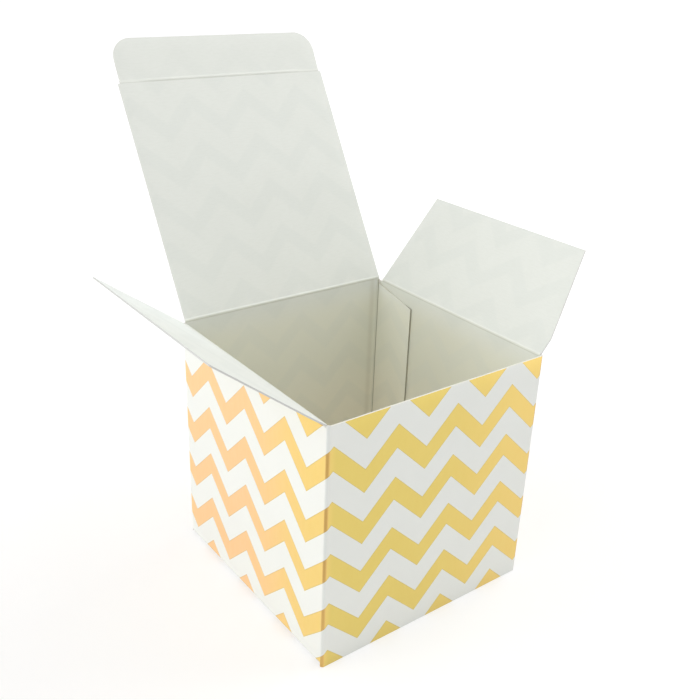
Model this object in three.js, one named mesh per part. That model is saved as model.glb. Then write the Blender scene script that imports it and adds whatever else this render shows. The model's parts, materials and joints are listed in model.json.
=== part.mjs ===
// Bauble gift box: a straight tuck carton die-cut and folded from one sheet of printed board.
// Millimetres. X runs along the front wall, Y from the front wall to the rear wall, Z up.
// The origin is the middle of the closed bottom panel's outer face.
// The lid stands open, and its dust flaps are folded out.
import * as THREE from 'three';

const { degToRad } = THREE.MathUtils;

// Outer sizes of the closed box
const boxWidth = 80;
const boxDepth = 80;
const boxHeight = 81;

// The board and its folds
const board = 0.45;
const foldInnerRadius = 0.475; // inside radius of a fold at a right angle
const beadHeight = 0.2; // the crease pushes up a bead on the inside of each fold
const beadShare = 0.6; // share of the fold's length that the bead takes up
const foldSteps = 8; // flat strips along a fold
const cornerSteps = 6; // straight cuts round a tuck flap's corner
const foldGap = 0.1; // between a fold's ends and the panels that it joins

// Clearances of the closed box
const plyGap = 0.25; // between two panels that lie on each other
const slideGap = 0.1; // between a tuck flap and the front wall that it slides behind

// The lid, the bottom panel and their tuck flaps
const lidSideGap = 0.8; // from the side of the box to the side of the lid
const tuckLength = 14;
const tuckSideGap = 0.75; // from the side of the lid to the side of its tuck flap
const tuckCornerRadius = 7;

// The dust flaps
const dustMiddleGap = 7.6; // between the ends of two closed dust flaps
const dustRearGap = 2.2; // from the outer rear face to a flap's rear edge
const dustFrontGap = 1.1; // from the outer front face to a top flap's shoulder
const bottomDustFrontGap = 2.6; // the same at the bottom, where the tuck flap leans in
const dustShoulder = 6; // length of the straight shoulder before the front edge tapers
const dustTaperAngle = 14; // degrees

// The glue flap, inside the right wall
const glueFlapWidth = 19;
const glueFlapEndGap = 1; // from the wall's fold line to the glue flap's end
const glueFlapSlant = 4; // how far each end is cut back towards the free edge
const glueSpace = 0.2; // between the glue flap and the right wall
const glueFilmGap = 0.05; // on each face of the film in that space
const glueMargin = 3; // from the film to the edges of the glue flap
const seamSetback = 0.35; // from the outer rear face to the right wall's free edge

// Degrees from closed at which the open flaps rest
const lidAngle = 120.7;
const rightDustAngle = 131.4;
const leftDustAngle = 143.3;
const tuckAngle = 3; // the open lid's tuck flap is still folded in by this much
const bottomTuckLeanAngle = 11.5; // how far the closed bottom's tuck flap leans in past square

// Values that follow from the driving sizes
const quarterTurn = Math.PI / 2;
const halfBoard = board / 2;
const foldReach = foldInnerRadius + halfBoard; // board that a fold takes up on each side of its crease line
const wallX = boxWidth / 2 - halfBoard; // middle of the side walls' board
const wallY = boxDepth / 2 - halfBoard; // middle of the front and rear walls' board
const glueFlapX = wallX - board - glueSpace; // middle of the glue flap's board
const tuckY = -wallY + board + slideGap; // middle of a closed tuck flap's board
const lidReach = wallY - tuckY; // from the lid's crease to its tuck flap's crease
const lidHalfWidth = boxWidth / 2 - lidSideGap;
const tuckHalfWidth = lidHalfWidth - tuckSideGap;
const bottomCreaseZ = halfBoard;
const lidCreaseZ = boxHeight - halfBoard;
const bottomDustCreaseZ = bottomCreaseZ + board + plyGap;
const dustCreaseZ = lidCreaseZ - board - plyGap;
const frontWallTop = boxHeight - board - plyGap;
const dustLength = wallX - dustMiddleGap / 2;

const materials = {
  wall: ['#e6e6de', 0.5, 0],
  flap: ['#e0e2da', 0.6, 0],
  fold: ['#f2f2ec', 0.6, 0],
  glue: ['#d8d2bc', 0.4, 0],
};

const X = new THREE.Vector3(1, 0, 0);
const Y = new THREE.Vector3(0, 1, 0);
const Z = new THREE.Vector3(0, 0, 1);
const opposite = (v) => v.clone().negate();

function named(name, geometry, look) {
  const [color, roughness, metalness] = materials[look];
  const mesh = new THREE.Mesh(geometry, new THREE.MeshStandardMaterial({ color, roughness, metalness }));
  mesh.name = name;
  return mesh;
}

// A frame on the middle of a sheet: its Y leads along the board, its Z to the side that is inside the box
function sheetFrame(parent, origin, away, inside) {
  const frame = new THREE.Group();
  const across = new THREE.Vector3().crossVectors(away, inside);
  frame.quaternion.setFromRotationMatrix(new THREE.Matrix4().makeBasis(across, away, inside));
  frame.position.copy(origin);
  parent.add(frame);
  return frame;
}

// The frame of a flap at its crease. A bend is in radians, and positive where the flap folds in.
function flapFrame(parent, reach, bend) {
  const frame = new THREE.Group();
  frame.position.set(0, reach, 0);
  frame.rotation.x = bend;
  parent.add(frame);
  return frame;
}

function plate(frame, name, outline, look) {
  const extent = { depth: board, bevelEnabled: false, curveSegments: cornerSteps };
  const geometry = new THREE.ExtrudeGeometry(outline, extent);
  geometry.translate(0, 0, -halfBoard);
  frame.add(named(name, geometry, look));
}

function rectangle(left, bottom, right, top) {
  return new THREE.Shape([
    new THREE.Vector2(left, bottom),
    new THREE.Vector2(right, bottom),
    new THREE.Vector2(right, top),
    new THREE.Vector2(left, top),
  ]);
}

// A band of board that turns through bend between the ends of two panels, with a bead on its inside.
// The frame is the first panel's: the crease line lies at reach along it, from start to end across it.
function fold(frame, name, reach, bend, start, end) {
  const radius = foldReach / Math.tan(bend / 2);
  const endShare = foldGap / Math.abs(radius * bend);
  const inner = [];
  const outer = [];
  for (let i = 0; i <= foldSteps; i++) {
    const share = endShare + (1 - 2 * endShare) * (i / foldSteps);
    const angle = bend * share;
    const fromBead = Math.abs(share - 0.5) / (beadShare / 2);
    const bead = fromBead < 1 ? beadHeight * Math.cos((fromBead * Math.PI) / 2) ** 2 : 0;
    const along = radius * Math.sin(angle) - foldReach;
    const up = radius * (1 - Math.cos(angle));
    const toInside = halfBoard + bead;
    inner.push(new THREE.Vector2(along - toInside * Math.sin(angle), up + toInside * Math.cos(angle)));
    outer.push(new THREE.Vector2(along + halfBoard * Math.sin(angle), up - halfBoard * Math.cos(angle)));
  }
  const section = new THREE.Shape([...outer, ...inner.reverse()]);
  const geometry = new THREE.ExtrudeGeometry(section, { depth: end - start, bevelEnabled: false });
  // The section lies in the frame's YZ plane, and the band runs along its X
  geometry.applyMatrix4(new THREE.Matrix4().makeBasis(Y, Z, X));
  geometry.translate(start, reach, 0);
  frame.add(named(name, geometry, 'fold'));
}

function tuckShape() {
  const corner = tuckCornerRadius;
  const inner = tuckHalfWidth - corner;
  const shape = new THREE.Shape();
  shape.moveTo(-tuckHalfWidth, foldReach);
  shape.lineTo(tuckHalfWidth, foldReach);
  shape.lineTo(tuckHalfWidth, tuckLength - corner);
  shape.absarc(inner, tuckLength - corner, corner, 0, quarterTurn, false);
  shape.absarc(-inner, tuckLength - corner, corner, quarterTurn, 2 * quarterTurn, false);
  return shape;
}

// rearSide is 1 where the frame's X leads to the rear of the box, and -1 where it leads to the front
function dustShape(rearSide, frontGap) {
  const rear = boxDepth / 2 - dustRearGap;
  const front = frontGap - boxDepth / 2;
  const taper = (dustLength - dustShoulder) * Math.tan(degToRad(dustTaperAngle));
  const points = [
    [rear, foldReach],
    [rear, dustLength],
    [front + taper, dustLength],
    [front, dustShoulder],
    [front, foldReach],
  ];
  return new THREE.Shape(points.map(([along, away]) => new THREE.Vector2(rearSide * along, away)));
}

function lidAndTuck(wallFrame, reach, opening, tuckBend, names) {
  const bend = quarterTurn - degToRad(opening);
  fold(wallFrame, names.fold, reach, bend, -lidHalfWidth, lidHalfWidth);
  const lid = flapFrame(wallFrame, reach, bend);
  const lidEnd = lidReach - foldReach;
  plate(lid, names.panel, rectangle(-lidHalfWidth, foldReach, lidHalfWidth, lidEnd), 'flap');
  fold(lid, names.tuckFold, lidReach, tuckBend, -tuckHalfWidth, tuckHalfWidth);
  plate(flapFrame(lid, lidReach, tuckBend), names.tuck, tuckShape(), 'flap');
}

function dustFlap(wallFrame, name, reach, opening, rearSide, frontGap) {
  const bend = quarterTurn - degToRad(opening);
  const rear = rearSide * (boxDepth / 2 - dustRearGap);
  const front = rearSide * (frontGap - boxDepth / 2);
  fold(wallFrame, `${name}_fold`, reach, bend, Math.min(rear, front), Math.max(rear, front));
  plate(flapFrame(wallFrame, reach, bend), name, dustShape(rearSide, frontGap), 'flap');
}

const box = new THREE.Group();

// Frames on the four walls, which lead up from the bottom, and down from the top for the bottom's flaps
const at = (x, y, z) => new THREE.Vector3(x, y, z);
const frontUp = sheetFrame(box, at(0, -wallY, 0), Z, Y);
const rearUp = sheetFrame(box, at(0, wallY, 0), Z, opposite(Y));
const leftUp = sheetFrame(box, at(-wallX, 0, 0), Z, X);
const rightUp = sheetFrame(box, at(wallX, 0, 0), Z, opposite(X));
const down = opposite(Z);
const rearDown = sheetFrame(box, at(0, wallY, boxHeight), down, opposite(Y));
const leftDown = sheetFrame(box, at(-wallX, 0, boxHeight), down, X);
const rightDown = sheetFrame(box, at(wallX, 0, boxHeight), down, opposite(X));

// Walls. Their plates stop where the folds begin.
const sideReach = wallY - foldReach;
const sideBottom = bottomDustCreaseZ + foldReach;
const sideTop = dustCreaseZ - foldReach;
const rearBottom = bottomCreaseZ + foldReach;
const rearTop = lidCreaseZ - foldReach;
const frontReach = wallX - foldReach;
const seamEdge = seamSetback - boxDepth / 2;
plate(frontUp, 'front_wall', rectangle(-frontReach, 0, frontReach, frontWallTop), 'wall');
plate(rearUp, 'rear_wall', rectangle(-frontReach, rearBottom, glueFlapX - foldReach, rearTop), 'wall');
plate(leftUp, 'left_wall', rectangle(-sideReach, sideBottom, sideReach, sideTop), 'wall');
plate(rightUp, 'right_wall', rectangle(seamEdge, sideBottom, sideReach, sideTop), 'wall');

// Upright folds at the corners, each on a frame that leads along its first wall, the same way round the box
const frontCorner = sheetFrame(box, at(0, -wallY, 0), X, Y);
const leftCorner = sheetFrame(box, at(-wallX, 0, 0), opposite(Y), X);
const rearCorner = sheetFrame(box, at(0, wallY, 0), opposite(X), opposite(Y));
const glueFrame = sheetFrame(box, at(glueFlapX, 0, 0), Y, opposite(X));
fold(frontCorner, 'front_right_corner_fold', wallX, quarterTurn, 0, frontWallTop);
fold(leftCorner, 'front_left_corner_fold', wallY, quarterTurn, 0, frontWallTop);
fold(rearCorner, 'rear_left_corner_fold', wallX, quarterTurn, rearBottom, rearTop);
fold(glueFrame, 'glue_flap_fold', wallY, quarterTurn, rearBottom, rearTop);

// The glue flap, and the film of glue between it and the right wall
const glueTop = sideTop - glueFlapEndGap;
const glueBottom = sideBottom + glueFlapEndGap;
const glueFlapFront = wallY - glueFlapWidth;
const glueFlapRear = wallY - foldReach;
const glueOutline = new THREE.Shape([
  new THREE.Vector2(glueBottom, glueFlapRear),
  new THREE.Vector2(glueTop, glueFlapRear),
  new THREE.Vector2(glueTop - glueFlapSlant, glueFlapFront),
  new THREE.Vector2(glueBottom + glueFlapSlant, glueFlapFront),
]);
plate(glueFrame, 'glue_flap', glueOutline, 'flap');
const filmHeight = glueTop - glueBottom - 2 * (glueFlapSlant + glueMargin);
const filmWidth = glueFlapRear - glueFlapFront - 2 * glueMargin;
const film = new THREE.BoxGeometry(filmHeight, filmWidth, glueSpace - 2 * glueFilmGap);
film.translate((glueTop + glueBottom) / 2, (glueFlapRear + glueFlapFront) / 2, -halfBoard - glueSpace / 2);
glueFrame.add(named('glue_film', film, 'glue'));

// The lid and its dust flaps
const lidNames = { fold: 'lid_fold', panel: 'lid_panel', tuckFold: 'tuck_fold', tuck: 'tuck_flap' };
lidAndTuck(rearUp, lidCreaseZ, lidAngle, degToRad(tuckAngle), lidNames);
dustFlap(leftUp, 'left_dust_flap', dustCreaseZ, leftDustAngle, 1, dustFrontGap);
dustFlap(rightUp, 'right_dust_flap', dustCreaseZ, rightDustAngle, -1, dustFrontGap);

// The bottom, which is closed
const bottomNames = {
  fold: 'bottom_fold',
  panel: 'bottom_panel',
  tuckFold: 'bottom_tuck_fold',
  tuck: 'bottom_tuck_flap',
};
const bottomReach = boxHeight - bottomDustCreaseZ;
const bottomTuckBend = quarterTurn + degToRad(bottomTuckLeanAngle);
lidAndTuck(rearDown, boxHeight - bottomCreaseZ, 0, bottomTuckBend, bottomNames);
dustFlap(leftDown, 'bottom_left_dust_flap', bottomReach, 0, -1, bottomDustFrontGap);
dustFlap(rightDown, 'bottom_right_dust_flap', bottomReach, 0, 1, bottomDustFrontGap);

export default box;
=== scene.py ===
# Looks of a bauble gift box: its printed board, creases and cut edges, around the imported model.
import json
import math
import bpy
import numpy as np
from mathutils import Matrix, Vector


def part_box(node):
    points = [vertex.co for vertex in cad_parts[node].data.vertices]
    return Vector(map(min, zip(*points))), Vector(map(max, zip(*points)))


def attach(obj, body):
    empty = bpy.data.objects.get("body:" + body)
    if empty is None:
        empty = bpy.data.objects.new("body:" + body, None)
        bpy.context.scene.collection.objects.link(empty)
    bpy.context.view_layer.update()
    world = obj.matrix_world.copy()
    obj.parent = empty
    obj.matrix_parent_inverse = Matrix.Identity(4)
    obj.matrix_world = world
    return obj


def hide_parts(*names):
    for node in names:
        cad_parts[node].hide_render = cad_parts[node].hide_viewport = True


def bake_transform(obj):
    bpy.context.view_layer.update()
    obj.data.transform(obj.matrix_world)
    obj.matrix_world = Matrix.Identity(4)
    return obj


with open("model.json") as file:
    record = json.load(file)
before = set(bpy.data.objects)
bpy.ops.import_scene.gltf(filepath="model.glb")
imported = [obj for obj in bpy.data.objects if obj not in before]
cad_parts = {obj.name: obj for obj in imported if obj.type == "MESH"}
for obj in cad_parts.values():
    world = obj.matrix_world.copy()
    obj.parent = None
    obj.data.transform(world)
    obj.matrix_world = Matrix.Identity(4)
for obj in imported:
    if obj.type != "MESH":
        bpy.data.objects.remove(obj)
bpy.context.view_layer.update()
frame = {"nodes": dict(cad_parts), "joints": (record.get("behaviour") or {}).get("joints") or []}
joints = {joint["name"]: joint for joint in frame["joints"]}
mm = 0.001
quarter_turn = math.pi / 2


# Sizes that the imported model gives

def box_of(node, axis):
    """The lowest and highest place of a node along an axis."""
    low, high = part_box(node)
    return low[axis], high[axis]


def crease_of(joint):
    return Vector(joints[joint]["pos_m"])


def bend_of(joint):
    """How far a top flap is folded in at rest. The range of its hinge starts at the closed flap."""
    opening = -math.radians(joints[joint]["range_deg"][0])
    return quarter_turn - opening


board = box_of("front_wall", 1)[1] - box_of("front_wall", 1)[0]
half_board = board / 2
wall_x = box_of("right_wall", 0)[1] - half_board
wall_y = box_of("rear_wall", 1)[1] - half_board
fold_reach = wall_x - box_of("front_wall", 0)[1]
box_height = crease_of("lid_hinge").z + half_board
glue_flap_x = sum(box_of("glue_flap", 0)) / 2

# Sizes of the cut and of the creases
tuck_bend = math.radians(3)
bottom_tuck_bend = quarter_turn + math.radians(11.5)
tuck_corner = 7 * mm
corner_cuts = 9
dust_shoulder = 6 * mm
dust_taper = math.radians(14)
glue_slant = 4 * mm
slit = 8 * mm  # cut at each end of a tuck crease, where the flap locks
slit_width = 0.12 * mm
bead_height = 0.25 * mm
bead_share = 0.62  # of the width of a fold
bead_fade = 2 * mm  # the length beside a slit over which the bead rises
groove_depth = 0.05 * mm
fold_rows = 16
edge_round = 0.05 * mm
edge_segments = 2
bow = 0.22 * mm  # how far the middle of a wall stands in
cell = 5 * mm  # about the size of the cells that a panel is divided into
smooth_angle = math.radians(25)


# Places of the panels. Each is flat in the plane of its own X and Z at first: X leads to the right on the
# printed side, Y into the box and Z up the sheet.

def wall_place(turns, distance):
    return Matrix.Rotation(turns * quarter_turn, 4, "Z") @ Matrix.Translation((0, -distance, 0))


def above(place, crease, bend):
    """The place of a flap that is creased to the top of a panel and folded in by bend."""
    return place @ Matrix.Translation((0, 0, crease)) @ Matrix.Rotation(-bend, 4, "X")


def below(place, crease, bend):
    return place @ Matrix.Translation((0, 0, crease)) @ Matrix.Rotation(bend, 4, "X")


front = wall_place(0, wall_y)
right = wall_place(1, wall_x)
rear = wall_place(2, wall_y)
left = wall_place(-1, wall_x)
lid_reach = (crease_of("tuck_hinge") - crease_of("lid_hinge")).length
bottom_reach = (crease_of("bottom_tuck_hinge") - crease_of("bottom_hinge")).length
lid_crease = crease_of("lid_hinge").z
dust_crease = crease_of("left_dust_hinge").z
bottom_crease = crease_of("bottom_hinge").z
bottom_dust_crease = sum(box_of("bottom_left_dust_flap", 2)) / 2
lid_bend = bend_of("lid_hinge")
left_dust_bend = bend_of("left_dust_hinge")
right_dust_bend = bend_of("right_dust_hinge")
lid = above(rear, lid_crease, lid_bend)
tuck = above(lid, lid_reach, tuck_bend)
left_dust = above(left, dust_crease, left_dust_bend)
right_dust = above(right, dust_crease, right_dust_bend)
bottom = below(rear, bottom_crease, quarter_turn)
bottom_tuck = below(bottom, -bottom_reach, bottom_tuck_bend)
bottom_left_dust = below(left, bottom_dust_crease, quarter_turn)
bottom_right_dust = below(right, bottom_dust_crease, quarter_turn)
glue_turn = Matrix.Rotation(-quarter_turn, 4, "Z")
glue_place = rear @ Matrix.Translation((-glue_flap_x, 0, 0)) @ glue_turn

# How far round the sheet the middle of each wall lies, from the front left corner, in millimetres
round_front = wall_x / mm
round_right = (2 * wall_x + wall_y) / mm
round_left = -wall_y / mm
round_rear = -(2 * wall_y + wall_x) / mm
round_glue = -(2 * wall_y + wall_x + glue_flap_x) / mm


# Materials

class Shader:
    """A material whose nodes are added one at a time, on the sheet's own map in millimetres."""

    def __init__(self, name):
        self.material = bpy.data.materials.new(name)
        self.material.use_nodes = True
        self.nodes = self.material.node_tree.nodes
        self.links = self.material.node_tree.links
        self.surface = self.nodes["Principled BSDF"]

    def add(self, kind, inputs=(), **settings):
        node = self.nodes.new(kind)
        for name, value in settings.items():
            setattr(node, name, value)
        for socket, value in dict(inputs).items():
            self.put(node.inputs[socket], value)
        return node

    def put(self, socket, value):
        if isinstance(value, bpy.types.NodeSocket):
            self.links.new(value, socket)
        else:
            socket.default_value = value

    def math(self, operation, *values):
        node = self.add("ShaderNodeMath", enumerate(values), operation=operation)
        return node.outputs[0]

    def spread(self, value, low, high, to_low=0.0, to_high=1.0):
        """value from low to high, led smoothly to the other range."""
        inputs = {"Value": value, "From Min": low, "From Max": high, "To Min": to_low, "To Max": to_high}
        return self.add("ShaderNodeMapRange", inputs, interpolation_type="SMOOTHSTEP").outputs[0]

    def noise(self, vector, scale, detail=2.0, roughness=0.5):
        inputs = {"Vector": vector, "Scale": scale, "Detail": detail, "Roughness": roughness}
        return self.add("ShaderNodeTexNoise", inputs).outputs["Fac"]

    def mix(self, share, first, second):
        inputs = {"Factor": share, 6: first, 7: second}
        return self.add("ShaderNodeMix", inputs, data_type="RGBA").outputs[2]

    def bump(self, height, distance, strength=1.0, normal=None):
        inputs = {"Height": height, "Distance": distance, "Strength": strength}
        if normal is not None:
            inputs["Normal"] = normal
        return self.add("ShaderNodeBump", inputs).outputs[0]

    def sheet(self):
        """The map of the sheet, and its two numbers: how far round and how far up, in millimetres."""
        place = self.add("ShaderNodeUVMap", uv_map="sheet").outputs[0]
        apart = self.add("ShaderNodeSeparateXYZ", {0: place})
        return place, apart.outputs[0], apart.outputs[1]

    def across(self):
        """Where a point of a fold lies: 0 in the middle of the crease, and -1 and 1 at its two sides."""
        place = self.add("ShaderNodeUVMap", uv_map="crease").outputs[0]
        return self.add("ShaderNodeSeparateXYZ", {0: place}).outputs[1]

    def stretched(self, place, along, up):
        return self.add("ShaderNodeMapping", {"Vector": place, "Scale": (along, up, 1)}).outputs[0]

    def finish(self, **inputs):
        for name, value in inputs.items():
            self.put(self.surface.inputs[name.replace("_", " ")], value)
        return self.material


# The chevrons, in millimetres on the sheet
chevron_period = 21.82
chevron_rise = 10.72
chevron_pitch = 17.03
chevron_height = 7.73
first_peak_along = 1.65
first_peak_depth = 6.86
foil_edge = 0.06  # over which the foil begins
rim_start, rim_end = 0.1, 0.45  # of the painted shade along the foil's rim, from the foil's edge

# The rows as they show through on the inside: the scale and shift that fit the photograph
ghost_along_scale, ghost_along_shift = 1.029, -1.1
ghost_up_scale, ghost_up_shift = 1.06, -5.3
ghost_top, ghost_foot = (-0.8, 1.6), (6.2, 8.6)  # where a row fades in and out

# Lines of shade beside the glue flap, by their distance round the sheet
seam_along = -155.6
seam_crease_along = -158.9

# Where the painted light on the slanted top of the glue flap's edge begins, below the top of the box
slant_low, slant_high = 6.5 * mm, 5.5 * mm


def chevron(shader, along, up, waver):
    """The row that a point lies in: below chevron_height it is foil, and above it bare white."""
    across = shader.math("SUBTRACT", along, first_peak_along)
    swing = shader.math("PINGPONG", across, chevron_period / 2)
    drop = shader.math("MULTIPLY", swing, 2 * chevron_rise / chevron_period)
    depth = shader.math("SUBTRACT", box_height / mm - first_peak_depth, up)
    depth = shader.math("SUBTRACT", depth, drop)
    depth = shader.math("ADD", depth, waver)
    return shader.math("FLOORED_MODULO", depth, chevron_pitch)


def tone(*rgb):
    return (*rgb, 1)


def foil_print(name, creased=False):
    """The printed side: white clay-coated board with chevrons of pale gold foil, pressed in a little.

    The gold is lemon on the front, and drifts to a peach tone on the left wall: painted light, for how the
    one foil looks under the light on each side. Its rims are a painted shade, and along a crease it is
    worn to a dull brown and painted with the shade of the rounded fold, less so towards the foot.
    """
    shader = Shader(name)
    place, along, up = shader.sheet()
    waver = shader.math("MULTIPLY", shader.math("SUBTRACT", shader.noise(place, 0.9), 0.5), 0.12)
    row = chevron(shader, along, up, waver)
    below_top = shader.spread(row, 0.0, foil_edge)
    above_foot = shader.spread(row, chevron_height - foil_edge, chevron_height, 1.0, 0.0)
    foil = shader.math("MULTIPLY", below_top, above_foot)
    cloud = shader.noise(place, 0.05, 3.0)
    grain = shader.noise(place, 4.0, 3.0, 0.6)
    dull = shader.noise(shader.stretched(place, 1.0, 0.3), 0.6, 4.0)
    white = shader.mix(cloud, tone(0.795, 0.81, 0.772), tone(0.845, 0.86, 0.822))
    warm = shader.mix(cloud, tone(0.86, 0.62, 0.185), tone(0.89, 0.65, 0.205))
    lemon = shader.mix(cloud, tone(0.755, 0.59, 0.15), tone(0.785, 0.615, 0.165))
    peach = shader.mix(cloud, tone(0.93, 0.585, 0.28), tone(0.96, 0.61, 0.31))
    # Painted light: the gold drifts from lemon on the front to warm towards the back and peach on the left
    # wall, for how the one foil looks under the light on each side
    past_corner = shader.spread(along, -1.0, 3.0)
    on_front = shader.math("MULTIPLY", past_corner, shader.spread(along, 25.0, 90.0, 1.0, 0.0))
    top = box_height / mm
    past_foot, to_top = shader.spread(up, -1.0, 1.0), shader.spread(up, top - 2.0, top, 1.0, 0.0)
    on_wall = shader.math("MULTIPLY", past_foot, to_top)
    from_rear = shader.math("MULTIPLY", shader.spread(along, -82.0, -77.0), on_wall)
    on_left = shader.math("MULTIPLY", shader.spread(along, -45.0, -5.0, 1.0, 0.0), from_rear)
    gold = shader.mix(on_left, shader.mix(on_front, warm, lemon), peach)
    if creased:
        # Partly worn foil and partly painted shade and painted reflection of the rounded fold: across the
        # crease the gold turns orange and dull brown and the white greys, less so towards the foot
        across = shader.across()
        orange = shader.spread(across, 0.6, 1.0, 0.7, 0.0)
        past_side, to_middle = shader.spread(across, -1.0, -0.6), shader.spread(across, 0.0, 0.8, 0.95, 0.0)
        up_the_wall = shader.spread(up, -4.0, 45.0, 0.55, 1.0)
        rubbed_and_shaded = shader.math("MULTIPLY", shader.math("MULTIPLY", past_side, to_middle), up_the_wall)
        gold = shader.mix(orange, gold, tone(0.78, 0.48, 0.16))
        gold = shader.mix(rubbed_and_shaded, gold, tone(0.52, 0.32, 0.09))
        white = shader.mix(shader.math("MULTIPLY", rubbed_and_shaded, 0.5), white, tone(0.60, 0.63, 0.62))
    # A painted shade along the rims of the foil
    near_top = shader.spread(row, rim_start, rim_end, 1.0, 0.0)
    high_rim_shade = shader.math("MULTIPLY", near_top, shader.spread(row, 0.0, rim_start))
    low_rim_shade = shader.spread(row, chevron_height - rim_end, chevron_height - rim_start)
    rim_shade = shader.math("MULTIPLY", shader.math("MAXIMUM", high_rim_shade, low_rim_shade), 0.45)
    gold = shader.mix(rim_shade, gold, tone(0.50, 0.40, 0.17))
    colour = shader.mix(foil, white, gold)
    metal = shader.math("MULTIPLY", foil, 0.5)
    foil_rough = shader.spread(dull, 0.3, 0.7, 0.42, 0.5)
    rough = shader.mix(foil, tone(0.46, 0.46, 0.46), foil_rough)
    surface = shader.bump(grain, 0.004 * mm, 0.5)
    pressed = shader.bump(shader.math("SUBTRACT", 1.0, foil), 0.02 * mm, 1.0, surface)
    return shader.finish(Base_Color=colour, Metallic=metal, Roughness=rough, Normal=pressed)


def bare_board(name, lower_foot_shade=None, upper_foot_shade=None, bead=0.6):
    """The inner side: uncoated greyish-white board with fibres, through which the foil's rows just show.

    Light is painted in: the far part of the left flap is paler, the inner walls are a darker olive
    shade, more so on the right wall, and low in the box it is warmer and brighter. On a fold the bead is
    paler than the board, partly its own stretched fibre and partly painted highlight, with a painted shade
    line at each of its feet, as strong as its two foot arguments say.
    """
    shader = Shader(name)
    place, along, up = shader.sheet()
    fibres = shader.noise(shader.stretched(place, 0.35, 1.6), 1.2, 5.0, 0.65)
    cloud = shader.noise(place, 0.09, 3.0)
    specks = shader.spread(shader.noise(place, 2.2, 1.0), 0.80, 0.86)
    pale = shader.mix(cloud, tone(0.805, 0.825, 0.775), tone(0.84, 0.86, 0.81))
    mottled = shader.mix(shader.spread(fibres, 0.35, 0.75, 0.0, 0.3), pale, tone(0.745, 0.765, 0.705))
    top = box_height / mm
    # Painted light: the far part of the left flap's inner face is paler
    far = shader.spread(along, -75.0, -25.0, 0.9, 0.0)
    far_left = shader.math("MULTIPLY", far, shader.spread(along, -80.0, -79.0))
    lit = shader.math("MULTIPLY", far_left, shader.spread(up, top, top + 4.0))
    flap = shader.mix(lit, mottled, tone(0.88, 0.915, 0.88))
    # Painted shade: the inner walls below the top are a darker olive, more so on the right wall
    inside = shader.spread(up, top - 12.0, top + 0.8, 0.9, 0.0)
    on_right = shader.spread(along, 75.0, 130.0)
    shade = shader.mix(on_right, tone(0.85, 0.85, 0.735), tone(0.775, 0.775, 0.66))
    shaded_inside = shader.mix(inside, flap, shade)
    # Painted light: lower down in the box the board is warmer and brighter
    depth = shader.spread(up, 22.0, 60.0, 0.9, 0.0)
    warm = shader.mix(depth, shaded_inside, tone(0.96, 0.92, 0.795))
    seen_along = shader.math("MULTIPLY_ADD", along, ghost_along_scale, ghost_along_shift)
    seen_up = shader.math("MULTIPLY_ADD", up, ghost_up_scale, ghost_up_shift)
    row = chevron(shader, seen_along, seen_up, 0.0)
    from_top, from_foot = shader.spread(row, *ghost_top), shader.spread(row, *ghost_foot, 1.0, 0.0)
    ghost = shader.math("MULTIPLY", from_top, from_foot)
    faint = shader.spread(up, 2 * top - 6.0, 2 * top + 4.0, 0.155, 0.06)
    colour = shader.mix(shader.math("MULTIPLY", ghost, faint), warm, tone(0.69, 0.73, 0.69))
    past_foot, to_top = shader.spread(up, 0.0, 1.0), shader.spread(up, top - 1.0, top, 1.0, 0.0)
    on_wall = shader.math("MULTIPLY", past_foot, to_top)
    # Painted shade: a soft and a sharp dark line on the inner walls beside the glue flap's fold
    from_seam = shader.math("ABSOLUTE", shader.math("ADD", along, -seam_along))
    seam = shader.math("MULTIPLY", shader.spread(from_seam, 0.1, 1.8, 0.19, 0.0), on_wall)
    colour = shader.mix(seam, colour, tone(0.50, 0.45, 0.35))
    from_crease = shader.math("ABSOLUTE", shader.math("ADD", along, -seam_crease_along))
    crease = shader.math("MULTIPLY", shader.spread(from_crease, 0.2, 0.5, 0.65, 0.0), on_wall)
    colour = shader.mix(crease, colour, tone(0.36, 0.34, 0.26))
    colour = shader.mix(shader.math("MULTIPLY", specks, 0.4), colour, tone(0.5, 0.48, 0.42))
    if lower_foot_shade is not None:
        across = shader.across()
        # The bead's crown is paler, partly its own stretched fibre and partly painted highlight; the dark
        # lines at its feet are painted shade
        pale_and_lit_crown = shader.spread(shader.math("ABSOLUTE", across), 0.3, 0.7, bead, 0.0)
        colour = shader.mix(pale_and_lit_crown, colour, tone(0.91, 0.925, 0.86))
        for side, strength in ((-1.0, lower_foot_shade), (1.0, upper_foot_shade)):
            out = shader.math("MULTIPLY", across, side)
            foot = shader.spread(out, 0.45, 0.7, 0.0, strength)
            colour = shader.mix(foot, colour, tone(0.40, 0.38, 0.30))
    surface = shader.bump(fibres, 0.03 * mm, 0.35)
    return shader.finish(Base_Color=colour, Roughness=0.82, Normal=surface)


def cut_fibre(name, dark, pale, lit_top_tone=None):
    """The die-cut edge: the board's own fibre, a little ragged. Its darker and paler copies are painted
    shade and painted light, and a fourth tone, if given, is painted light on a flap's slanted top, which
    faces up.
    """
    shader = Shader(name)
    place = shader.add("ShaderNodeTexCoord").outputs["Object"]
    plies = shader.noise(place, 2500.0, 3.0, 0.6)
    ragged = shader.noise(place, 900.0, 4.0, 0.7)
    colour = shader.mix(plies, dark, pale)
    if lit_top_tone:
        height = shader.add("ShaderNodeSeparateXYZ", {0: place}).outputs[2]
        slanted = shader.spread(height, box_height - slant_low, box_height - slant_high)
        colour = shader.mix(slanted, colour, lit_top_tone)
    return shader.finish(Base_Color=colour, Roughness=0.9, Normal=shader.bump(ragged, 0.06 * mm, 0.5))


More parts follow.
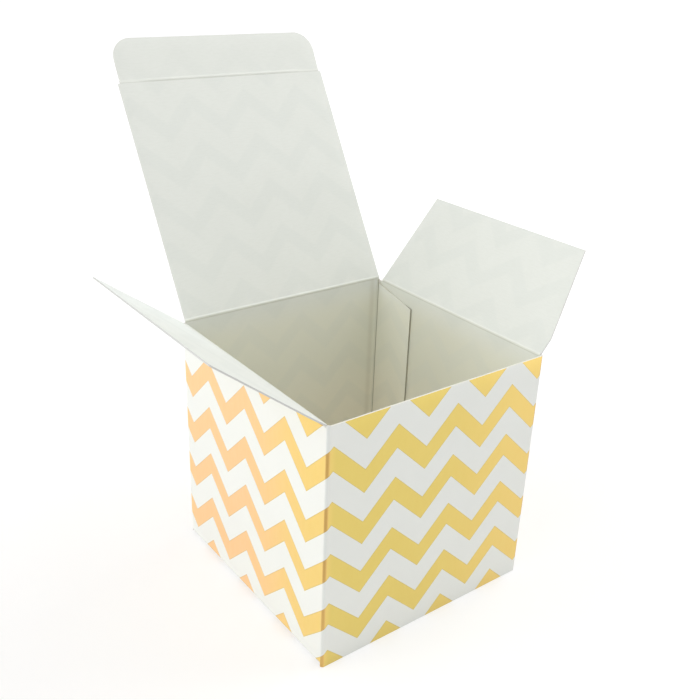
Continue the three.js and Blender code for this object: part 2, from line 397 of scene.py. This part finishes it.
def dried_glue():
    """The film in the glue seam: milky and half clear."""
    shader = Shader("dried_glue")
    place = shader.add("ShaderNodeTexCoord").outputs["Object"]
    ripple = shader.noise(place, 400.0, 3.0)
    colour = shader.mix(ripple, tone(0.72, 0.69, 0.58), tone(0.82, 0.80, 0.72))
    return shader.finish(Base_Color=colour, Roughness=0.35, Normal=shader.bump(ripple, 0.05 * mm, 0.6))


# The same fibre in lit and shaded copies: the left flap's and the glue flap's edges are painted shade, and
# the front wall's top edge, which faces up, is painted light
edge = cut_fibre("cut_fibre", tone(0.66, 0.66, 0.63), tone(0.78, 0.78, 0.75))
shaded_flap_edge = cut_fibre("shaded_flap_edge", tone(0.57, 0.575, 0.55), tone(0.69, 0.695, 0.67))
dark_edge = cut_fibre("shaded_edge", tone(0.36, 0.35, 0.28), tone(0.46, 0.45, 0.37), tone(0.78, 0.77, 0.68))
top_lit_edge = cut_fibre("painted_lit_edge", tone(0.80, 0.79, 0.70), tone(0.92, 0.91, 0.84))
printed, bare = foil_print("foil_print"), bare_board("bare_board")
creased_print = foil_print("creased_print", creased=True)
panel_looks = (printed, bare, edge)
left_flap_looks = (printed, bare, shaded_flap_edge)
glued_looks = (printed, bare, dark_edge)
front_looks = (printed, bare, top_lit_edge)
flap_fold_looks = (creased_print, bare_board("creased_board", 0.22, 0.0), edge)
tuck_fold_looks = (creased_print, bare_board("tuck_crease_board", 0.2, 0.0, 0.35), edge)
corner_fold_looks = (creased_print, bare_board("corner_board", 0.7, 0.7, 0.3), edge)
glue_fold_looks = (creased_print, bare_board("glue_crease_board", 0.95, 0.3, 0.3), edge)
inner_side, cut_side = 1, 2  # places in a piece's looks; the printed side is 0
frame["nodes"]["glue_film"].data.materials.clear()
frame["nodes"]["glue_film"].data.materials.append(dried_glue())


# Ways of working on a piece

def only(piece):
    bpy.ops.object.select_all(action="DESELECT")
    piece.select_set(True)
    bpy.context.view_layer.objects.active = piece


def pick(piece, kind, chosen):
    """Selects the vertices, edges or faces of a piece, in edit mode, that chosen holds true."""
    modes = {"VERT": piece.data.vertices, "EDGE": piece.data.edges, "FACE": piece.data.polygons}
    only(piece)
    bpy.ops.object.mode_set(mode="EDIT")
    bpy.ops.mesh.select_mode(type=kind)
    bpy.ops.mesh.select_all(action="DESELECT")
    bpy.ops.object.mode_set(mode="OBJECT")
    for item in modes[kind]:
        item.select = bool(chosen(item))
    bpy.ops.object.mode_set(mode="EDIT")


def whole(piece):
    pick(piece, "VERT", lambda vertex: True)


def done():
    bpy.ops.object.mode_set(mode="OBJECT")


def apply_modifier(piece, kind, **settings):
    only(piece)
    modifier = piece.modifiers.new(kind.lower(), kind)
    for name, value in settings.items():
        setattr(modifier, name, value)
    bpy.ops.object.modifier_apply(modifier=modifier.name)


def upright_sheet(name, x0, x1, z0, z1):
    """A flat rectangle of the sheet that stands in the plane of X and Z, with its printed side to -Y."""
    bpy.ops.object.select_all(action="DESELECT")
    bpy.ops.mesh.primitive_plane_add(size=1, rotation=(quarter_turn, 0, 0))
    piece = bpy.context.object
    piece.name = name
    piece.data.name = name
    bpy.ops.object.transform_apply(location=True, rotation=True)
    whole(piece)
    bpy.ops.transform.resize(value=(x1 - x0, 1, z1 - z0))
    bpy.ops.transform.translate(value=((x0 + x1) / 2, 0, (z0 + z1) / 2))
    done()
    return piece


def divide(piece, low, high, parts, normal):
    """Cuts across the whole piece, which divide it into equal parts between two places."""
    for i in range(1, parts):
        whole(piece)
        at = low + (high - low) * i / parts
        place = [at * share for share in normal]
        bpy.ops.mesh.bisect(plane_co=place, plane_no=normal)
        done()


def cut_off(piece, point, away):
    """Cuts the piece straight through point and takes off what lies on the side that away points to."""
    whole(piece)
    bpy.ops.mesh.bisect(plane_co=point, plane_no=away, clear_outer=True)
    done()


def map_sheet(piece, along, up, x_scale=1.0, z_scale=1.0):
    """Gives the flat piece its map: how far round the sheet and how far up each corner is."""
    layer = piece.data.uv_layers.new(name="sheet")
    for loop in piece.data.loops:
        place = piece.data.vertices[loop.vertex_index].co
        layer.data[loop.index].uv = (along + place.x * x_scale / mm, up + place.z * z_scale / mm)


def map_crease(piece, axis, low, high):
    """A second map for a fold, of how far along it and how far across it each corner is."""
    layer = piece.data.uv_layers.new(name="crease")
    for loop in piece.data.loops:
        place = piece.data.vertices[loop.vertex_index].co
        across = (2 * place[axis] - low - high) / (high - low)
        layer.data[loop.index].uv = (place[2 - axis] / mm, across)


def thicken(piece, looks):
    """Gives the sheet its thickness, half to each side, with its three looks."""
    for look in looks:
        piece.data.materials.append(look)
    settings = {"thickness": board, "offset": 0, "use_even_offset": False}
    apply_modifier(piece, "SOLIDIFY", material_offset=inner_side, material_offset_rim=cut_side, **settings)


def set_in_place(piece, place):
    only(piece)
    piece.matrix_world = place
    bpy.ops.object.transform_apply(location=True, rotation=True)
    bpy.ops.object.shade_smooth_by_angle(angle=smooth_angle)


def wear(piece, body, node):
    """The piece moves with the body and stands for the node."""
    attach(piece, body)
    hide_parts(node)


def extent(node, place):
    """The lowest and highest X and Z of a node in a panel's own frame."""
    back = place.inverted()
    corners = np.array([back @ vertex.co for vertex in frame["nodes"][node].data.vertices])
    low, high = corners.min(0), corners.max(0)
    return low[0], high[0], low[2], high[2]


# Panels

def panel(node, body, place, along, up, free, shape=None, inward=0.0, looks=panel_looks):
    """A flat panel that stands for a node. free names the sides that are cut edges, and not creases."""
    x0, x1, z0, z1 = extent(node, place)
    piece = upright_sheet(node + "_board", x0, x1, z0, z1)
    divide(piece, x0, x1, max(2, round((x1 - x0) / cell)), (1, 0, 0))
    divide(piece, z0, z1, max(2, round((z1 - z0) / cell)), (0, 0, 1))
    if shape:
        shape(piece, x0, x1, z0, z1)
    map_sheet(piece, along, up)
    if inward:
        bow_in(piece, x0, x1, z0, z1, inward)
    thicken(piece, looks)
    round_edges(piece, x0, x1, z0, z1, free)
    set_in_place(piece, place)
    wear(piece, body, node)
    return piece


def bow_in(piece, x0, x1, z0, z1, depth):
    """Presses the middle of the panel in a little, while its sides stay straight."""
    for vertex in piece.data.vertices:
        across = (vertex.co.x - x0) / (x1 - x0)
        high = (vertex.co.z - z0) / (z1 - z0)
        vertex.co.y += depth * math.sin(math.pi * across) * math.sin(math.pi * high)


def round_edges(piece, x0, x1, z0, z1, free):
    """Rounds the rims of the cut sides. A side that goes on as a fold stays sharp, and so closed."""
    near = 0.01 * mm
    lines = {"left": (0, x0), "right": (0, x1), "foot": (2, z0), "head": (2, z1)}
    creased = [line for side, line in lines.items() if side not in free]
    looks_beside = {}
    for face in piece.data.polygons:
        for key in face.edge_keys:
            looks_beside.setdefault(key, set()).add(face.material_index)

    def rim(edge):
        ends = [piece.data.vertices[i].co for i in edge.vertices]
        if any(all(abs(end[axis] - line) < near for end in ends) for axis, line in creased):
            return False
        looks = looks_beside[edge.key]
        return cut_side in looks and len(looks) == 2

    pick(piece, "EDGE", rim)
    bpy.ops.mesh.bevel(offset=edge_round, segments=edge_segments, affect="EDGES", material=cut_side)
    done()


def tuck_corners(direction):
    """Rounds the two far corners of a tuck flap with straight cuts that follow the arc."""
    def shape(piece, x0, x1, z0, z1):
        end = z1 if direction > 0 else z0
        for side, corner_x in ((-1, x0 + tuck_corner), (1, x1 - tuck_corner)):
            centre = Vector((corner_x, 0, end - direction * tuck_corner))
            for i in range(corner_cuts):
                angle = quarter_turn * (i + 0.5) / corner_cuts
                away = Vector((side * math.cos(angle), 0, direction * math.sin(angle)))
                cut_off(piece, centre + away * tuck_corner, away)
    return shape


def dust_taper_cut(direction, front_side):
    """Cuts the front edge of a dust flap back from its shoulder to its tip."""
    def shape(piece, x0, x1, z0, z1):
        front_x = x1 if front_side > 0 else x0
        away = Vector((front_side * math.cos(dust_taper), 0, direction * math.sin(dust_taper)))
        cut_off(piece, (front_x, 0, direction * dust_shoulder), away)
    return shape


def glue_ends(piece, x0, x1, z0, z1):
    """Slants both ends of the glue flap back towards its free edge."""
    width = x1 - x0
    for end, direction in ((z1, 1), (z0, -1)):
        away = Vector((-glue_slant, 0, direction * width)).normalized()
        cut_off(piece, (x1, 0, end), away)


# Folds

def fold(node, place, along, up, bend, towards, ends, looks, slits=False):
    """A crease that turns through bend, with its bead on the inside, standing for a node.

    towards is the way across the fold from the panel that place belongs to: up, down, right or left.
    """
    radius = fold_reach / math.tan(bend / 2)
    width = abs(radius * bend)
    direction = 1 if towards in ("up", "right") else -1
    low, high = (0, width) if direction > 0 else (-width, 0)
    stretch = 2 * fold_reach / width
    cuts = max(2, round((ends[1] - ends[0]) / cell))
    if towards in ("up", "down"):
        axis, bend_axis, along_fold, across_fold, scale = 2, "X", (1, 0, 0), (0, 0, 1), "z_scale"
        outline = (*ends, low, high)
    else:
        axis, bend_axis, along_fold, across_fold, scale = 0, "Z", (0, 0, 1), (1, 0, 0), "x_scale"
        outline = (low, high, *ends)
    piece = upright_sheet(node + "_board", *outline)
    divide(piece, *ends, cuts, along_fold)
    divide(piece, low, high, fold_rows, across_fold)
    if slits:
        cut_slits(piece, ends, (low + high) / 2)
    map_sheet(piece, along, up, **{scale: stretch})
    map_crease(piece, axis, low, high)
    thicken(piece, looks)
    raise_bead(piece, axis, (low + high) / 2, width, ends, slits)
    apply_modifier(piece, "SIMPLE_DEFORM", deform_method="BEND", deform_axis=bend_axis, angle=bend)
    set_in_place(piece, place)
    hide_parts(node)
    return piece


def cut_slits(piece, ends, middle):
    """Cuts the crease through at both of its ends, where the tuck flap locks."""
    for side, end in ((1, ends[0] + slit), (-1, ends[1] - slit)):
        for offset in (-slit_width / 2, slit_width / 2):
            whole(piece)
            bpy.ops.mesh.bisect(plane_co=(0, 0, middle + offset), plane_no=(0, 0, 1))
            done()
        whole(piece)
        bpy.ops.mesh.bisect(plane_co=(end, 0, 0), plane_no=(1, 0, 0))
        done()

    def in_slit(face):
        beyond = abs(face.center.x - sum(ends) / 2) > (ends[1] - ends[0]) / 2 - slit
        return beyond and abs(face.center.z - middle) < slit_width / 2

    pick(piece, "FACE", in_slit)
    bpy.ops.mesh.delete(type="FACE")
    done()


def raise_bead(piece, axis, middle, width, ends, slits):
    """Pushes the bead up on the inner face, over a shallow groove on the printed face."""
    for vertex in piece.data.vertices:
        from_middle = abs(vertex.co[axis] - middle) / (width / 2)
        if from_middle >= bead_share:
            continue
        height = math.sqrt(1 - (from_middle / bead_share) ** 2)
        if slits:
            to_end = min(vertex.co.x - ends[0], ends[1] - vertex.co.x)
            height *= min(1, max(0, (to_end - slit) / bead_fade))
        vertex.co.y += height * (bead_height if vertex.co.y > 0 else groove_depth)


def crease_ends(node, place, axis):
    x0, x1, z0, z1 = extent(node, place)
    return (x0, x1) if axis == 0 else (z0, z1)


def flap_fold(node, base, flap, place, along, crease, bend, towards, up=0.0, slits=False):
    """The fold between a panel and a flap that turns about it."""
    direction = 1 if towards == "up" else -1
    foot = place @ Matrix.Translation((0, 0, crease - direction * fold_reach))
    ends = crease_ends(node, place, 0)
    height = up + (crease - direction * fold_reach) / mm
    looks = tuck_fold_looks if slits else flap_fold_looks
    piece = fold(node, foot, along, height, bend, towards, ends, looks, slits)
    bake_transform(piece)
    return piece


def corner_fold(node, place, along, corner, towards, looks=corner_fold_looks):
    """A fold between two walls, which never moves."""
    direction = 1 if towards == "right" else -1
    side = direction * (corner - fold_reach)
    foot = place @ Matrix.Translation((side, 0, 0))
    ends = crease_ends(node, place, 2)
    piece = fold(node, foot, along + side / mm, 0.0, quarter_turn, towards, ends, looks)
    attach(piece, "sleeve")
    return piece


# The sleeve
panel("front_wall", "sleeve", front, round_front, 0.0, ("head", "foot"), inward=bow, looks=front_looks)
panel("left_wall", "sleeve", left, round_left, 0.0, (), inward=bow)
panel("right_wall", "sleeve", right, round_right, 0.0, ("right",), inward=bow / 4)
panel("rear_wall", "sleeve", rear, round_rear, 0.0, (), inward=bow)
glue_free = ("left", "head", "foot")
panel("glue_flap", "sleeve", glue_place, round_glue, 0.0, glue_free, glue_ends, looks=glued_looks)
corner_fold("front_right_corner_fold", front, round_front, wall_x, "right")
corner_fold("front_left_corner_fold", left, round_left, wall_y, "right")
corner_fold("rear_left_corner_fold", rear, round_rear, wall_x, "right")
corner_fold("glue_flap_fold", rear, round_rear, glue_flap_x, "left", glue_fold_looks)

# The lid and its tuck flap
sides = ("left", "right")
lid_up = lid_crease / mm
tuck_up = (lid_crease + lid_reach) / mm
panel("lid_panel", "lid", lid, round_rear, lid_up, sides, inward=bow / 2)
panel("tuck_flap", "tuck", tuck, round_rear, tuck_up, ("left", "right", "head"), tuck_corners(1))
flap_fold("lid_fold", "sleeve", "lid", rear, round_rear, lid_crease, lid_bend, "up")
flap_fold("tuck_fold", "lid", "tuck", lid, round_rear, lid_reach, tuck_bend, "up", lid_up, slits=True)

# The dust flaps, at the top and at the bottom
head, foot = ("left", "right", "head"), ("left", "right", "foot")
dust_up = dust_crease / mm
dust_down = bottom_dust_crease / mm
left_cut = dust_taper_cut(1, 1)
panel("left_dust_flap", "left_dust", left_dust, round_left, dust_up, head, left_cut, looks=left_flap_looks)
panel("right_dust_flap", "right_dust", right_dust, round_right, dust_up, head, dust_taper_cut(1, -1))
low_left = bottom_left_dust, round_left, dust_down, foot, dust_taper_cut(-1, 1)
low_right = bottom_right_dust, round_right, dust_down, foot, dust_taper_cut(-1, -1)
panel("bottom_left_dust_flap", "bottom_left_dust", *low_left)
panel("bottom_right_dust_flap", "bottom_right_dust", *low_right)
for side, place, along, bend in (
    ("left", left, round_left, left_dust_bend),
    ("right", right, round_right, right_dust_bend),
):
    top = side + "_dust"
    low = "bottom_" + top
    flap_fold(top + "_flap_fold", "sleeve", top, place, along, dust_crease, bend, "up")
    flap_fold(low + "_flap_fold", "sleeve", low, place, along, bottom_dust_crease, quarter_turn, "down")

# The bottom and its tuck flap
bottom_up = bottom_crease / mm
bottom_tuck_up = (bottom_crease - bottom_reach) / mm
panel("bottom_panel", "bottom", bottom, round_rear, bottom_up, sides)
panel("bottom_tuck_flap", "bottom_tuck", bottom_tuck, round_rear, bottom_tuck_up, foot, tuck_corners(-1))
flap_fold("bottom_fold", "sleeve", "bottom", rear, round_rear, bottom_crease, quarter_turn, "down")
low_tuck = bottom, round_rear, -bottom_reach, bottom_tuck_bend, "down", bottom_up
flap_fold("bottom_tuck_fold", "bottom", "bottom_tuck", *low_tuck, slits=True)


# The floor, the light and the camera
floor_radius = 4.0
floor_drop = 0.05 * mm  # keeps the floor just clear of the bottom
glow_near, glow_far = 1.2, 1.8  # the floor's own white that the camera sees, near the box and away
glow_share = 0.4
room_light = 0.64
seen_white = 1.0  # the ground that the camera sees
softbox_size = 0.8


def studio_floor():
    """A pale floor that looks white and keeps the soft shadow of the box."""
    shader = Shader("studio_floor")
    ray = shader.add("ShaderNodeLightPath")
    seen = shader.math("MAXIMUM", ray.outputs["Is Camera Ray"], ray.outputs["Is Glossy Ray"])
    place = shader.add("ShaderNodeTexCoord").outputs["Object"]
    grain = shader.noise(place, 3.0)
    colour = shader.mix(grain, tone(0.89, 0.89, 0.89), tone(0.91, 0.91, 0.91))
    shader.finish(Base_Color=colour, Roughness=1.0)
    distance = shader.add("ShaderNodeVectorMath", {0: place}, operation="LENGTH").outputs["Value"]
    strength = shader.spread(distance, 0.1, 0.5, glow_near, glow_far)
    glow = shader.add("ShaderNodeEmission", {"Color": tone(1, 1, 1), "Strength": strength})
    share = shader.math("MULTIPLY", seen, glow_share)
    both = shader.add("ShaderNodeMixShader", {0: share, 1: shader.surface.outputs[0], 2: glow.outputs[0]})
    shader.links.new(both.outputs[0], shader.nodes["Material Output"].inputs[0])
    return shader.material


bpy.ops.mesh.primitive_circle_add(
    vertices=96, radius=floor_radius, fill_type="NGON", location=(0, 0, -floor_drop)
)
floor = bpy.context.object
floor.name = "floor"
bpy.ops.object.transform_apply(location=True)
floor.data.materials.append(studio_floor())

world = bpy.data.worlds.new("studio")
bpy.context.scene.world = world
world.use_nodes = True
sky = world.node_tree
ray = sky.nodes.new("ShaderNodeLightPath")
seen = sky.nodes.new("ShaderNodeMath")
seen.operation = "MAXIMUM"
sky.links.new(ray.outputs["Is Camera Ray"], seen.inputs[0])
sky.links.new(ray.outputs["Is Glossy Ray"], seen.inputs[1])
level = sky.nodes.new("ShaderNodeMapRange")
level.inputs["To Min"].default_value = room_light
level.inputs["To Max"].default_value = seen_white
sky.links.new(seen.outputs[0], level.inputs["Value"])
sky.links.new(level.outputs[0], sky.nodes["Background"].inputs["Strength"])
sky.nodes["Background"].inputs["Color"].default_value = tone(1, 1, 1)


def softbox(name, place, aim, power, width=softbox_size, height=softbox_size):
    lamp = bpy.data.lights.new(name, "AREA")
    lamp.shape = "RECTANGLE"
    lamp.size = width
    lamp.size_y = height
    lamp.energy = power
    holder = bpy.data.objects.new(name, lamp)
    bpy.context.scene.collection.objects.link(holder)
    holder.location = place
    holder.rotation_euler = (Vector(aim) - Vector(place)).to_track_quat("-Z", "Y").to_euler()


middle = (0, 0, box_height / 2)
front_right_foot = (wall_x, -wall_y, 0.02)
softbox("left_softbox", (-0.9, -0.05, 0.5), middle, 2.45)
softbox("rear_left_softbox", (-0.7, 0.55, 0.45), middle, 2.6)
softbox("right_softbox", (0.75, -0.1, 0.8), middle, 4.6)
softbox("front_softbox", (0.42, -0.32, 0.03), front_right_foot, 0.15, 0.2, 0.12)

# The camera, as fitted to the corners of the box in the photograph
sensor = 36.0
lens = 46.16
camera_place = Vector((-157.17, -199.87, 193.16)) * mm
camera_turn = math.radians(-37.59)
camera_down = math.radians(24.695)
camera_roll = math.radians(2.216)
camera_data = bpy.data.cameras.new("camera")
camera_data.sensor_width = sensor
camera_data.lens = lens
camera = bpy.data.objects.new("camera", camera_data)
bpy.context.scene.collection.objects.link(camera)
upright = Matrix.Rotation(camera_turn, 4, "Z") @ Matrix.Rotation(quarter_turn - camera_down, 4, "X")
camera.matrix_world = Matrix.Translation(camera_place) @ upright @ Matrix.Rotation(camera_roll, 4, "Z")
bpy.context.scene.camera = camera
bpy.context.scene.view_settings.view_transform = "Standard"
